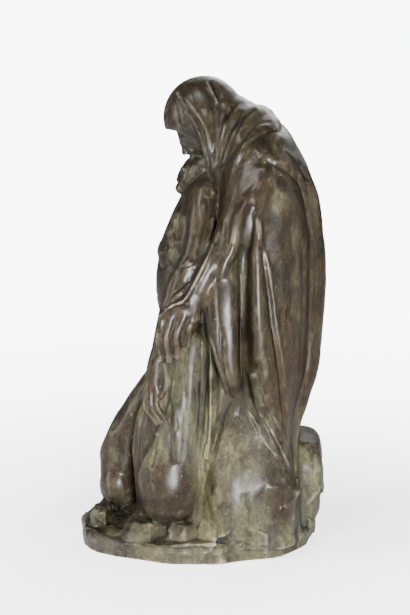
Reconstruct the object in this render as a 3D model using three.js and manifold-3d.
// A cast bronze pieta: a hooded, cloaked woman stands bent over the body of a man who
// kneels against her, on a low rocky plinth. Figures and plinth are one casting.
// Millimetres, +Z up. -X is the side that the figures face, -Y is the woman's left.
import * as THREE from "three";
import Module from "manifold-3d";

const wasm = await Module();
wasm.setup();

// Driving sizes
const groupHeight = 400; // plinth and figures together
const plinthLength = 204; // along the way the figures face
const plinthWidth = 170;
const rimHeight = 17; // the plinth's upright edge, which the figures stand on
const plinthCrown = 10; // how far the plinth's top rises towards the middle
const boulderHeight = 92; // the rock behind the woman
const boulderWidth = 86;

// The figures and the rocks are carved in shares of these heights and lengths, so that
// each number in the rows below is a millimetre on a group of the sizes above.
const carvedHeight = 400;
const carvedRim = 17;
const carvedLength = 204;
const carvedWidth = 170;
const carvedBoulderWidth = 86;
const figureScale = (groupHeight - rimHeight) / (carvedHeight - carvedRim);

const towardsFront = [1, 0, 0];
const sideways = [0, 1, 0];
const upwards = [0, 0, 1];
const mirrored = (rows) => rows.map(([x, y, z, ...sizes]) => [x, -y, z, ...sizes]);
const between = (value, low, high) => Math.min(Math.max(value, low), high);
const signedPower = (value, power) => Math.sign(value) * Math.abs(value) ** power;

// The value of each column of the rows at t from 0 to 1, on a smooth curve through them.
function spline(rows, t) {
  const place = between(t, 0, 1) * (rows.length - 1);
  const i = Math.min(Math.floor(place), rows.length - 2);
  const f = place - i;
  const row = (k) => rows[between(k, 0, rows.length - 1)];
  const [a, b, c, d] = [row(i - 1), row(i), row(i + 1), row(i + 2)];
  return b.map((value, k) => {
    const slope = c[k] - a[k];
    const bend = 2 * a[k] - 5 * value + 4 * c[k] - d[k];
    const twist = 3 * (value - c[k]) + d[k] - a[k];
    return value + (f / 2) * (slope + f * (bend + f * twist));
  });
}

// The same curve read at a value of its last column, which falls from row to row.
function splineAtHeight(rows, z) {
  const last = rows[0].length - 1;
  let i = 0;
  while (i < rows.length - 2 && z < rows[i + 1][last]) i += 1;
  const f = between((rows[i][last] - z) / (rows[i][last] - rows[i + 1][last]), 0, 1);
  return spline(rows, (i + f) / (rows.length - 1));
}

// A closed surface from rings of equally many points and a point beyond each end.
function skin(rings, firstPole, lastPole) {
  const around = rings[0].length;
  const positions = [...rings.flat(), firstPole, lastPole].flatMap((p) => [p.x, p.y, p.z]);
  const faces = [];
  const first = rings.length * around;
  for (let j = 0; j < around; j += 1) {
    const next = (j + 1) % around;
    faces.push(first, next, j);
    const top = (rings.length - 1) * around;
    faces.push(first + 1, top + j, top + next);
    for (let i = 0; i + 1 < rings.length; i += 1) {
      const [low, high] = [i * around, (i + 1) * around];
      faces.push(low + j, low + next, high + next, low + j, high + next, high + j);
    }
  }
  const geometry = new THREE.BufferGeometry();
  geometry.setAttribute("position", new THREE.Float32BufferAttribute(positions, 3));
  geometry.setIndex(faces);
  return geometry;
}

// A limb: oval rings carried along a smooth path, with a rounded end at each side. A row
// holds x, y, z, the half-width towards `wide`, and the other half-width; `bulge` is how far
// the ends stand out, as a share of a half-ball.
const capAngle = THREE.MathUtils.degToRad(52);
const pathStep = 0.01; // share of the path, for its direction
function limb(rows, wide, { around = 8, steps = 4, boxy = 1, bulge = 1 } = {}) {
  const wideTo = new THREE.Vector3(...wide).normalize();
  const ring = (t, scale, shift) => {
    const [x, y, z, halfWidth, halfDepth] = spline(rows, t);
    const [before, after] = [spline(rows, t - pathStep), spline(rows, t + pathStep)];
    const along = new THREE.Vector3(...after.slice(0, 3)).sub(new THREE.Vector3(...before.slice(0, 3)));
    along.normalize();
    const side = wideTo.clone().addScaledVector(along, -along.dot(wideTo)).normalize();
    const other = new THREE.Vector3().crossVectors(along, side);
    const centre = new THREE.Vector3(x, y, z);
    centre.addScaledVector(along, shift * bulge * Math.min(halfWidth, halfDepth));
    if (scale === 0) return centre;
    return Array.from({ length: around }, (_, j) => {
      const angle = (2 * Math.PI * j) / around;
      const point = centre.clone();
      point.addScaledVector(side, scale * halfWidth * signedPower(Math.cos(angle), boxy));
      return point.addScaledVector(other, scale * halfDepth * signedPower(Math.sin(angle), boxy));
    });
  };
  const rings = [
    ring(0, Math.cos(capAngle), -Math.sin(capAngle)),
    ...Array.from({ length: steps + 1 }, (_, i) => ring(i / steps, 1, 0)),
    ring(1, Math.cos(capAngle), Math.sin(capAngle)),
  ];
  return skin(rings, ring(0, 0, -1), ring(1, 0, 1));
}

const bothSides = (rows, wide, options) => [limb(rows, wide, options), limb(mirrored(rows), wide, options)];

// An egg: a sphere stretched along its own length, width and depth, then turned.
function egg(centre, sizes, lengthTo, widthTo, { around = 12, steps = 8 } = {}) {
  const [length, width, depth] = sizes;
  const along = new THREE.Vector3(...lengthTo).normalize();
  const side = new THREE.Vector3(...widthTo);
  side.addScaledVector(along, -along.dot(side)).normalize();
  const other = new THREE.Vector3().crossVectors(along, side);
  const middle = new THREE.Vector3(...centre);
  const at = (polar, angle) => {
    const point = middle.clone().addScaledVector(along, -length * Math.cos(polar));
    point.addScaledVector(side, width * Math.sin(polar) * Math.cos(angle));
    return point.addScaledVector(other, depth * Math.sin(polar) * Math.sin(angle));
  };
  const ring = (polar) => Array.from({ length: around }, (_, j) => at(polar, (2 * Math.PI * j) / around));
  const rings = Array.from({ length: steps - 1 }, (_, i) => ring((Math.PI * (i + 1)) / steps));
  return skin(rings, at(0, 0), at(Math.PI, 0));
}

// Hanging cloth: level rings on an outline, pushed out along crests and in along grooves.
// An outline row holds the front, the back, the near and the far half-width, and the height.
// A fold runs down the cloth: rows of [place, height, rise]. Its place is the x that it
// passes on its own side, or, on the back, degrees round from the middle of the back.
const clothPower = 0.85; // a level outline is a little boxier than an ellipse
const frontLimit = 0.85; // beyond this share of the reach, folds crowd up to the front edge
function foldAt(fold, section, z) {
  const byHeight = fold.rows.map(([place, height, rise]) => [place, rise, height]);
  const [place, rise] = splineAtHeight(byHeight, z);
  if (fold.side === 0) return [THREE.MathUtils.degToRad(place), rise];
  const share = (place - section.x) / section.reach;
  const past = Math.max(Math.abs(share) - frontLimit, 0);
  const crowded = past > 0 ? Math.sign(share) * (frontLimit + (1 - frontLimit) * Math.tanh(past)) : share;
  return [fold.side * Math.acos(signedPower(crowded, 1 / clothPower)), rise];
}
function drape(outline, folds, levels) {
  const [top, bottom] = [outline[0][4], outline[outline.length - 1][4]];
  const capRise = 4;
  const rings = Array.from({ length: levels + 1 }, (_, i) => {
    const z = bottom + ((top - bottom) * i) / levels;
    const [front, back, near, far] = splineAtHeight(outline, z);
    const section = { x: (front + back) / 2, reach: (back - front) / 2 };
    const places = folds.map((fold) => foldAt(fold, section, z));
    const turn = 2 * Math.PI;
    const around = (k) => {
      const [angle, rise] = places[(k + places.length) % places.length];
      return [angle + turn * Math.floor(k / places.length), rise];
    };
    return places.flatMap((place, k) => {
      const [before, after, beyond] = [around(k - 1), around(k + 1), around(k + 2)];
      // A point halfway to the next fold, on a smooth curve through the folds either side
      const halfway = (9 * (place[1] + after[1]) - before[1] - beyond[1]) / 16;
      const middle = [(place[0] + after[0]) / 2, halfway];
      return [place, middle].map(([angle, rise]) => {
        const wide = Math.sin(angle) < 0 ? near : far;
        const outward = new THREE.Vector2(Math.cos(angle) / section.reach, Math.sin(angle) / wide);
        outward.normalize();
        const x = section.x + section.reach * signedPower(Math.cos(angle), clothPower);
        const y = wide * signedPower(Math.sin(angle), clothPower);
        return new THREE.Vector3(x + rise * outward.x, y + rise * outward.y, z);
      });
    });
  });
  const middleOf = ([front, back]) => (front + back) / 2;
  const low = new THREE.Vector3(middleOf(outline[outline.length - 1]), 0, bottom - capRise);
  const high = new THREE.Vector3(middleOf(outline[0]), 0, top + capRise);
  return skin(rings, low, high);
}
// Near folds go from the front to the back; the far side repeats them, softer.
const farSoftness = 0.8;
const onNear = (foldRows) => foldRows.map((rows) => ({ side: -1, rows }));
const onBack = (foldRows) => foldRows.map((rows) => ({ side: 0, rows }));
const onFar = (foldRows) =>
  [...foldRows].reverse().map((rows) => ({
    side: 1,
    rows: rows.map(([place, height, rise]) => [place, height, rise * farSoftness]),
  }));

// Joining and cutting of closed surfaces
function solid(geometry) {
  const vertProperties = geometry.attributes.position.array;
  const triVerts = new Uint32Array(geometry.index.array);
  return new wasm.Manifold(new wasm.Mesh({ numProp: 3, vertProperties, triVerts }));
}
const joined = (geometries) => geometries.map(solid).reduce((whole, next) => whole.add(next));

const cloakOutline = [
  [34, 58, 10, 10, 372], [18, 66, 34, 34, 363], [10, 77, 50, 49, 348], [6, 87, 60, 59, 330],
  [4, 94, 67, 66, 312], [3, 99, 71, 70, 293], [1, 101.5, 74, 73, 268], [1, 102.5, 75, 74, 240],
  [2, 101.5, 75, 74, 210], [8, 98.5, 74, 73, 183], [14, 96, 71, 71, 156], [22, 89, 68, 69, 130],
  [34, 83, 65, 67, 110], [46, 80, 63, 66, 90], [56, 80, 61, 66, 70], [62, 82, 58, 67, 48],
  [64, 84, 54, 68, 12],
];
const cloakSideFolds = [
  [
    [14, 330, 0], [12, 300, -1], [6, 262, 0], [4, 230, 0], [8, 190, 0], [16, 150, 0], [24, 12, 0],
  ],
  [
    [44, 330, 1], [39, 306, 3], [33, 288, 3], [22, 262, 2], [15, 240, 3], [17, 218, 4], [20, 194, 4],
    [24, 150, 3], [28, 120, 0], [36, 12, 0],
  ],
  [
    [51, 334, 0], [46, 308, 0], [41, 290, 0], [36, 266, -1], [34, 245, -1.5], [34, 186, -1.5],
    [37, 145, -1], [46, 110, 0], [54, 12, 0],
  ],
  [
    [58, 336, 3], [52, 308, 3], [47, 290, 4], [44, 266, 5], [45, 234, 5.5], [46, 210, 5.5],
    [48, 177, 5], [52, 145, 4.5], [58, 110, 3], [66, 60, 2], [68, 12, 1],
  ],
  [
    [66, 338, 1], [58, 308, 1], [51, 288, 2], [49, 262, 2], [53, 226, 1], [57, 201, 0.5],
    [61, 177, 0.5], [66, 136, 0], [69, 105, 0], [76, 60, 0], [76, 12, 0],
  ],
  [
    [74, 338, 2], [73, 300, 3], [71, 270, 3], [73, 230, 3], [75, 190, 3], [77, 150, 3], [79, 110, 3],
    [82, 60, 2], [82, 12, 2],
  ],
];
const cloakBackFolds = [
  [[-46, 330, -1], [-42, 300, -2], [-40, 250, -3], [-40, 180, -3], [-42, 100, -2], [-44, 12, -1]],
  [[-30, 330, 1], [-29, 300, 2], [-27, 250, 3], [-26, 180, 4], [-28, 100, 3], [-30, 12, 2]],
  [[-14, 330, -1], [-16, 300, -2], [-14, 250, -3], [-12, 180, -4], [-14, 100, -3], [-16, 12, -2]],
  [[0, 330, 0], [-2, 300, 1], [0, 250, 2], [2, 180, 4], [0, 100, 4], [-2, 12, 3]],
  [[15, 330, -2], [13, 300, -3], [16, 250, -3], [18, 180, -3], [14, 100, -4], [12, 12, -2]],
  [[30, 330, 1], [28, 300, 2], [30, 250, 4], [33, 180, 4], [29, 100, 3], [28, 12, 2]],
  [[45, 330, -1], [42, 300, -2], [42, 250, -3], [44, 180, -4], [43, 100, -3], [43, 12, -2]],
];
function cloak() {
  const folds = [...onNear(cloakSideFolds), ...onBack(cloakBackFolds), ...onFar(cloakSideFolds)];
  return drape(cloakOutline, folds, 16);
}

// The robe under the cloak, down to the plinth. At its foot it is pulled tight round a
// corner at the back of each side.
const robeOutline = [
  [-6, 56, 44, 44, 228], [-5, 66, 52, 51, 195], [-3, 74, 56, 54, 160], [-1, 80, 60, 58, 122],
  [-2, 83, 66, 63, 95], [-4, 85, 71, 68, 70], [-6, 86, 75, 70, 45], [-8, 88, 76, 72, 10],
];
const robeSideFolds = [
  [[-4, 215, 0], [-4, 150, 0], [-2, 80, 0], [-4, 12, 0]],
  [[6, 215, -3], [6, 174, -4], [6, 130, -3.5], [6, 100, -1], [5, 70, 1], [4, 12, 1]],
  [
    [13, 215, 2], [13, 175, 3], [15, 140, 4], [19, 112, 5], [19, 87, 6], [20, 62, 6], [24, 41, 4],
    [26, 12, 1],
  ],
  [
    [27, 215, 0], [27, 150, -1], [30, 118, -1], [36, 100, -1.5], [42, 80, -2], [46, 58, -2],
    [47, 12, -1],
  ],
  [
    [44, 200, 0], [46, 145, 1], [50, 118, 1], [60, 94, 1], [68, 74, 4], [72, 57, 7], [73, 40, 5],
    [73, 12, 3],
  ],
  [
    [54, 200, 0], [60, 145, 0], [66, 118, 0], [74, 94, -1], [80, 74, -2], [82, 57, -2], [83, 12, 0],
  ],
];
const robeBackFolds = [
  [[-25, 200, 0], [-25, 12, 0]],
  [[0, 200, 0], [0, 12, 0]],
  [[25, 200, 0], [25, 12, 0]],
];
function robe() {
  const folds = [...onNear(robeSideFolds), ...onBack(robeBackFolds), ...onFar(robeSideFolds)];
  return drape(robeOutline, folds, 9);
}

// The woman's hood, hollowed below its brim, with her face deep inside it. The hood's
// edges fall past her cheeks to the throat.
const chinWay = [0.61, 0, -0.79];
function hood() {
  const dome = egg([1, 0, 366], [34, 28, 34.5], chinWay, sideways, { around: 14, steps: 10 });
  const hollow = egg([-28, 0, 330], [25, 60, 28], upwards, sideways, { around: 12, steps: 8 });
  return solid(dome).subtract(solid(hollow));
}
function headAndNeck() {
  const veilEdge = [
    [2, -21, 372, 15, 9], [8, -25, 356, 14, 8], [10, -27, 343, 11, 8], [10, -25, 329, 7, 7],
    [9, -18, 314, 5, 6],
  ];
  const veilRidge = [
    [-20, -14, 384, 3, 3], [-11, -24, 369, 3, 3], [-3, -27, 355, 3, 3], [2, -28, 341, 3, 3],
    [7, -24, 322, 3, 3],
  ];
  const neck = [[24, 0, 361, 24, 27], [28, 0, 335, 27, 34], [30, 0, 300, 24, 38]];
  const brow = [[-19, -9, 349, 2.5, 3], [-21, 0, 349, 3, 3], [-19, 9, 349, 2.5, 3]];
  const nose = [[-20, 0, 347, 2, 2.5], [-20.5, 0, 340, 3, 3]];
  return [
    egg([-7, 0, 349], [23, 16, 16], chinWay, sideways),
    limb(nose, sideways, { around: 5, steps: 1 }),
    limb(brow, upwards, { around: 5, steps: 2 }),
    ...bothSides(veilEdge, towardsFront, {}),
    ...bothSides(veilRidge, towardsFront, { around: 5, steps: 3 }),
    limb(neck, towardsFront, { steps: 3 }),
    egg([38, 0, 357], [36, 15, 15], sideways, towardsFront, { around: 8, steps: 6 }),
  ];
}

// The cloak's edge lies round the neck and over the shoulders in broad rolls
function collar() {
  const across = [0.85, 0, -0.5];
  const rolls = [
    [
      [40, 0, 374, 8, 5], [32, -22, 368, 8, 5], [22, -33, 354, 7, 5], [16, -35, 338, 6, 5],
      [11, -28, 318, 5, 4],
    ],
    [
      [52, 0, 369, 9, 6], [44, -24, 366, 9, 6], [33, -39, 353, 8, 6], [24, -44, 336, 7, 5],
      [15, -38, 314, 5, 4],
    ],
    [
      [59, 0, 354, 10, 6], [54, -28, 351, 10, 6], [43, -46, 344, 9, 7], [33, -55, 331, 8, 6],
      [20, -50, 306, 5, 4],
    ],
    [[44, -54, 332, 7, 5], [58, -55, 331, 7, 5], [70, -51, 323, 7, 4], [82, -42, 309, 6, 4]],
  ];
  const options = { around: 5, steps: 3 };
  return rolls.flatMap((rows) => bothSides(rows, across, options));
}

// The woman's arm under the cloak; from her wrist the cloak hangs in a point
const cloakedArm = [
  [50, -40, 326, 30, 22],
  [43, -51, 307, 26, 20],
  [34, -60, 287, 20, 17],
  [24, -66, 268, 15.5, 14],
  [13, -71, 251, 12, 11],
  [3, -74, 237, 10, 9],
  [-3, -76, 226, 9, 7],
];
const sleeveRidge = [
  [46, -65, 312, 5, 5], [37, -71, 299, 6, 5], [29, -76, 282, 6, 5], [23, -78, 260, 6, 5],
  [15, -79, 238, 5, 5], [9, -77, 216, 4, 4],
];
const cloakPoint = [
  [16, -68, 250, 14, 10], [16, -73, 222, 14.5, 11], [17, -75, 194, 13.5, 11],
  [20, -75.5, 174, 11, 10.5], [23.5, -75.5, 154, 8.5, 9.5], [25.5, -75, 142, 6, 8],
];

// One finger from its knuckle, through its middle joint, to its tip
function finger(knuckle, joint, tip, thick) {
  const [jointThick, tipThick] = [thick * 0.88, thick * 0.75];
  const rows = [
    [...knuckle, thick, thick],
    [...joint, jointThick, jointThick],
    [...tip, tipThick, tipThick],
  ];
  return limb(rows, sideways, { around: 5, steps: 2 });
}

// Her hand lies over his wrist
function womansHand(side) {
  const palm = [[2, 75, 232, 9, 6], [-6, 77, 220, 11, 6], [-13, 77, 208, 14, 5], [-18, 76, 199, 15, 5]];
  const fingers = [
    [[-27, 76, 205], [-32, 76, 190], [-34, 73, 175], 3.8],
    [[-20, 79, 203], [-25, 79, 188], [-28, 75, 172], 4.2],
    [[-13, 80, 202], [-17, 79, 187], [-20, 74, 173], 4.2],
    [[-6, 78, 202], [-8, 77, 190], [-11, 72, 180], 4],
  ];
  const onSide = (rows) => rows.map(([x, y, z, ...sizes]) => [x, side * y, z, ...sizes]);
  return [
    limb(onSide(palm), towardsFront, { steps: 3 }),
    ...fingers.map(([knuckle, joint, tip, thick]) => finger(...onSide([knuckle, joint, tip]), thick)),
  ];
}

const torso = [
  [2, 2, 145, 34, 26],
  [-2, 2, 172, 33, 26],
  [-12, 2, 198, 28, 24],
  [-17, 2, 222, 29, 24],
  [-14, 1, 244, 35, 25],
  [-10, 0, 262, 40, 24],
  [-5, 0, 279, 43, 22],
  [1, 0, 294, 42, 19],
  [7, 0, 306, 34, 15],
];
// His chest and ribs
function chest() {
  const coarse = { around: 8, steps: 6 };
  const halves = [-17, 17].map((y) => egg([-12, y, 278], [22, 17, 15], sideways, upwards, coarse));
  const ribs = egg([-17, 0, 250], [20, 30, 23], upwards, sideways, { around: 10, steps: 5 });
  return [...halves, ribs];
}

// His arms hang by his sides
const nearArm = [
  [2, -42, 300, 13, 13],
  [-1, -49, 287, 12, 12],
  [-3, -55, 268, 11, 11.5],
  [-7, -59, 250, 11, 10.5],
  [-17, -62, 230, 11.5, 10],
  [-25, -64, 210, 9.5, 9],
  [-31, -64, 190, 8, 7.5],
  [-36, -63, 172, 6.5, 5.5],
];
function nearHand() {
  return [
    limb([
      [-36, -63, 174, 6.5, 5], [-38, -63, 160, 8, 5.5], [-40, -63, 144, 8, 5.5],
    ], towardsFront, { steps: 3 }),
    finger([-45, -62, 146], [-46, -62, 130], [-39, -61, 115], 3.2),
    finger([-42, -65, 145], [-43, -65, 130], [-36, -63, 115], 3.3),
    finger([-37, -66, 144], [-38, -66, 130], [-32, -64, 117], 3.3),
    finger([-32, -67, 162], [-29, -68, 149], [-32, -67, 136], 3.6),
  ];
}
const farArm = [
  [2, 41, 298, 13.5, 14],
  [0, 50, 285, 12.5, 12],
  [-4, 56, 266, 11.5, 11.5],
  [-9, 59, 246, 10.5, 10.5],
  [-12, 60, 228, 11, 10],
  [-18, 60, 206, 10, 9],
  [-24, 58, 184, 8, 7],
  [-27, 56, 168, 7, 5.5],
];
function farHand() {
  return [
    limb([
      [-27, 56, 170, 5, 7], [-29, 55, 156, 5, 8], [-30, 54, 143, 5, 8],
    ], towardsFront, { steps: 3 }),
    finger([-31, 60, 142], [-32, 59, 127], [-28, 57, 114], 3),
    finger([-32, 56, 141], [-34, 55, 125], [-30, 53, 111], 3.1),
    finger([-32, 52, 142], [-33, 51, 126], [-30, 48, 113], 3.4),
    finger([-32, 61, 156], [-39, 63, 146], [-42, 61, 135], 3.6),
  ];
}

// His head has fallen back under her face, bearded chin forward
function mansHead() {
  const crownWay = [0.78, 0.14, 0.61];
  return [
    limb([[8, 0, 303, 17, 17], [4, 3, 314, 15, 14], [2, 6, 324, 13, 13]], towardsFront, { steps: 2 }),
    egg([4, 7, 322], [28, 20, 18], crownWay, sideways, { around: 12 }),
    limb([[-2, 6, 317, 15, 11], [-12, 5, 311, 11, 8], [-19, 4, 305, 7, 5]], sideways, { steps: 3 }),
    limb([[10, 25, 328, 10, 8], [12, 30, 312, 8, 7], [15, 32, 296, 5, 5]], towardsFront, { steps: 3 }),
  ];
}

// His thighs, knees and shins under wet cloth, which spans the gaps between them
const nearLeg = [
  [-8, -30, 176, 17, 20], [-12, -34, 150, 17, 20], [-14, -37, 128, 15.5, 19],
  [-14, -40, 106, 15.5, 19], [-16, -43, 88, 17, 19], [-21, -46, 74, 22, 23], [-26, -47, 57, 27, 25],
  [-28, -46, 45, 24, 22],
];
const farLeg = [
  [0, 20, 172, 20, 20],
  [-20, 22, 150, 18, 20],
  [-40, 24, 126, 19, 19],
  [-56, 26, 102, 19, 18],
  [-67, 27, 80, 20, 18],
  [-72, 27, 58, 20, 18],
  [-74, 27, 40, 18, 17],
  [-74, 27, 31, 15, 14],
];
function legs() {
  const lapCloth = [
    [-8, -2, 176, 30, 18], [-26, -4, 136, 30, 18], [-40, -6, 96, 30, 18], [-48, -8, 60, 30, 20],
    [-50, -8, 26, 34, 22],
  ];
  const innerCloth = [
    [4, -34, 232, 14, 22], [4, -38, 190, 14, 20], [2, -38, 130, 12, 18], [0, -40, 96, 11, 16],
    [-4, -40, 70, 10, 14],
  ];
  const farCloth = [
    [2, 36, 226, 16, 22], [-8, 38, 180, 22, 20], [-18, 38, 130, 26, 20], [-28, 38, 76, 34, 20],
    [-34, 40, 28, 38, 22],
  ];
  const hangingEdge = [
    [2, -54, 186, 4, 6], [1, -57, 150, 4, 6], [0, -59, 110, 4, 6], [-4, -60, 76, 5, 6],
    [-10, -60, 58, 4, 5],
  ];
  const kneeFold = [
    [-30, -32, 140, 8, 10], [-36, -34, 108, 9, 11], [-42, -36, 80, 8, 11], [-44, -36, 58, 6, 9],
  ];
  return [
    limb(nearLeg, towardsFront, { around: 10, steps: 7 }),
    limb(farLeg, towardsFront, { around: 10, steps: 7 }),
    limb(lapCloth, sideways, { around: 10 }),
    limb(innerCloth, towardsFront),
    limb(farCloth, towardsFront),
    limb(hangingEdge, towardsFront, { around: 6 }),
    limb(kneeFold, towardsFront),
  ];
}

// A block of rock: a squared limb that stands on the plinth
const rockPower = 0.6;
const rockFoot = 12;
function block(x, y, top, halfLength, halfWidth, lean) {
  const head = [x + lean[0], y + lean[1], top, halfLength * 0.8, halfWidth * 0.8];
  const foot = [x, y, rockFoot, halfLength, halfWidth];
  return limb([foot, head], towardsFront, { around: 8, steps: 1, boxy: rockPower, bulge: 0.15 });
}

function rocks() {
  const lift = boulderHeight / 2;
  const boulder = limb(
    [
      [78, 12, 6, 16, 40], [83, 12, lift * 0.8, 21, 43], [86, 12, lift * 1.5, 20, 42],
      [88, 12, boulderHeight - 5, 16, 34],
    ],
    towardsFront,
    { around: 12, steps: 4, boxy: rockPower, bulge: 0.3 },
  );
  boulder.scale(1, boulderWidth / carvedBoulderWidth, 1);
  const stones = [
    block(-84, -5, 27, 20, 40, [2, 0]),
    block(-56, -46, 20, 26, 24, [4, 9]),
    block(-20, -56, 21, 23, 22, [0, 9]),
    block(14, -58, 24, 22, 20, [1, 8]),
    block(-66, 48, 23, 24, 24, [2, -5]),
    block(-16, 62, 26, 30, 18, [0, -4]),
  ];
  stones.forEach((stone) => {
    stone.scale(plinthLength / carvedLength, plinthWidth / carvedWidth, rimHeight / carvedRim);
  });
  return [boulder, ...stones];
}

const plinthMiddle = [-5, 2];
function plinth() {
  const around = 36;
  const levels = [
    [1, 0],
    [1.01, rimHeight * 0.6],
    [0.98, rimHeight * 0.92],
    [0.9, rimHeight],
    [0.6, rimHeight + plinthCrown],
  ];
  // The rim wanders in and out by a hundredth or so of its reach
  const waves = [[3, 0.011], [7, 0.016], [13, 0.009]];
  const wobble = (angle) => {
    const each = waves.map(([turns, size]) => size * Math.sin(turns * angle + turns));
    return each.reduce((sum, wave) => sum + wave, 1);
  };
  const rings = levels.map(([scale, z]) =>
    Array.from({ length: around }, (_, j) => {
      const angle = (2 * Math.PI * j) / around;
      const x = (plinthLength / 2) * scale * wobble(angle) * Math.cos(angle);
      const y = (plinthWidth / 2) * scale * wobble(angle) * Math.sin(angle);
      return new THREE.Vector3(plinthMiddle[0] + x, plinthMiddle[1] + y, z);
    }),
  );
  const foot = new THREE.Vector3(...plinthMiddle, 0);
  return skin(rings, foot, new THREE.Vector3(...plinthMiddle, rimHeight + plinthCrown));
}

const figures = joined([
  cloak(),
  robe(),
  ...headAndNeck(),
  ...collar(),
  ...bothSides(cloakedArm, towardsFront, { around: 10, steps: 5 }),
  ...bothSides(sleeveRidge, towardsFront, { around: 5 }),
  ...bothSides(cloakPoint, towardsFront, {}),
  ...womansHand(-1),
  ...womansHand(1),
  limb(torso, sideways, { around: 10, steps: 7 }),
  ...chest(),
  limb(nearArm, towardsFront, { steps: 6 }),
  ...nearHand(),
  limb(farArm, towardsFront, { steps: 6 }),
  ...farHand(),
  ...mansHead(),
  ...legs(),
]).add(hood());

const mesh = figures
  .translate([0, 0, -carvedRim])
  .scale(figureScale)
  .translate([0, 0, rimHeight])
  .add(joined([...rocks(), plinth()]).trimByPlane(upwards, 0))
  .getMesh();
const geometry = new THREE.BufferGeometry();
geometry.setAttribute("position", new THREE.BufferAttribute(new Float32Array(mesh.vertProperties), 3));
geometry.setIndex(new THREE.BufferAttribute(mesh.triVerts, 1));
geometry.computeBoundingBox();
const middle = geometry.boundingBox.getCenter(new THREE.Vector3());
geometry.translate(-middle.x, -middle.y, -geometry.boundingBox.min.z);

const bronze = new THREE.MeshStandardMaterial({ color: 0x4a4234, roughness: 0.35, metalness: 0.9 });
const pieta = new THREE.Mesh(geometry, bronze);
pieta.name = "pieta_group";
const root = new THREE.Group();
root.add(pieta);
export default root;
